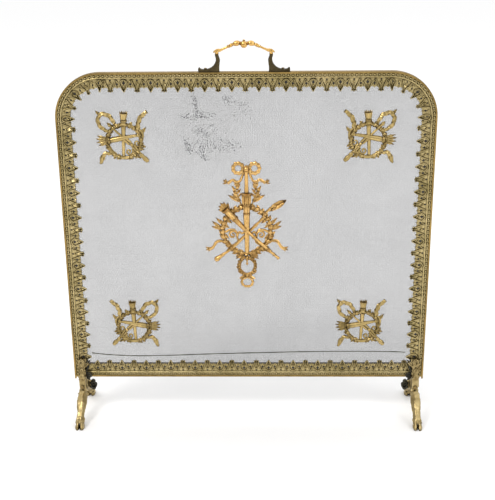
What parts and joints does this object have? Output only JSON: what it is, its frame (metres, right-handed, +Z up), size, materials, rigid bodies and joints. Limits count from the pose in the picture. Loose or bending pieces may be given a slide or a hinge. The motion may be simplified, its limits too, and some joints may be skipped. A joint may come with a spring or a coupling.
{
  "type": "fireplace screen",
  "caption": "Free-standing fireplace screen: wire-cloth panel in a brass frame with rounded top corners, cast ornaments, a top carrying handle and hoofed feet.",
  "frame": {"origin": "on the floor, half way across the screen and half way between the front and rear feet", "axes": "+Z up, +X to the right seen from the front, -Y towards the room, the decorated side"},
  "size_m": [0.7, 0.164, 0.753],
  "materials": {
    "rim_brass": "satin, aged, brighter on the edges",
    "border_brass": "aged olive, dark in the hollows",
    "wire_cloth": "fine woven wire, dull, a little sooty",
    "core_iron": "dull black",
    "tie_wire": "dull, tarnished",
    "trophy_gilt": "bright gilt, satin",
    "mount_gilt": "aged gilt, satin",
    "handle_gilt": "polished",
    "bracket_bronze": "dark brown patina",
    "leg_brass": "aged, rubbed bright on the high parts",
    "hardware_brass": "satin"
  },
  "bodies": {
    "root": {"rim_arch": "rim_brass", "rim_bottom_rail": "rim_brass", "bead_moulding_arch": "border_brass", "bead_moulding_bottom": "border_brass", "core_bar_arch": "core_iron", "core_bar_bottom": "core_iron", "rim_screws": "hardware_brass", "handle_screws": "hardware_brass", "gallery_top": "border_brass", "gallery_bottom": "border_brass", "gallery_left": "border_brass", "gallery_right": "border_brass", "gallery_corner_left": "border_brass", "gallery_corner_right": "border_brass", "mesh_panel": "wire_cloth", "brace_wire": "tie_wire", "centre_trophy": "trophy_gilt", "mount_top_left": "mount_gilt", "mount_top_right": "mount_gilt", "mount_bottom_left": "mount_gilt", "mount_bottom_right": "mount_gilt", "mount_studs": "hardware_brass", "mount_nuts": "hardware_brass", "handle_bracket_left": "bracket_bronze", "handle_bracket_right": "bracket_bronze", "handle_pins": "hardware_brass", "handle_bar": "handle_gilt", "leg_front_left": "leg_brass", "leg_front_right": "leg_brass", "leg_rear_left": "leg_brass", "leg_rear_right": "leg_brass", "leg_bolts": "hardware_brass", "leg_nuts": "hardware_brass"}
  },
  "joints": []
}
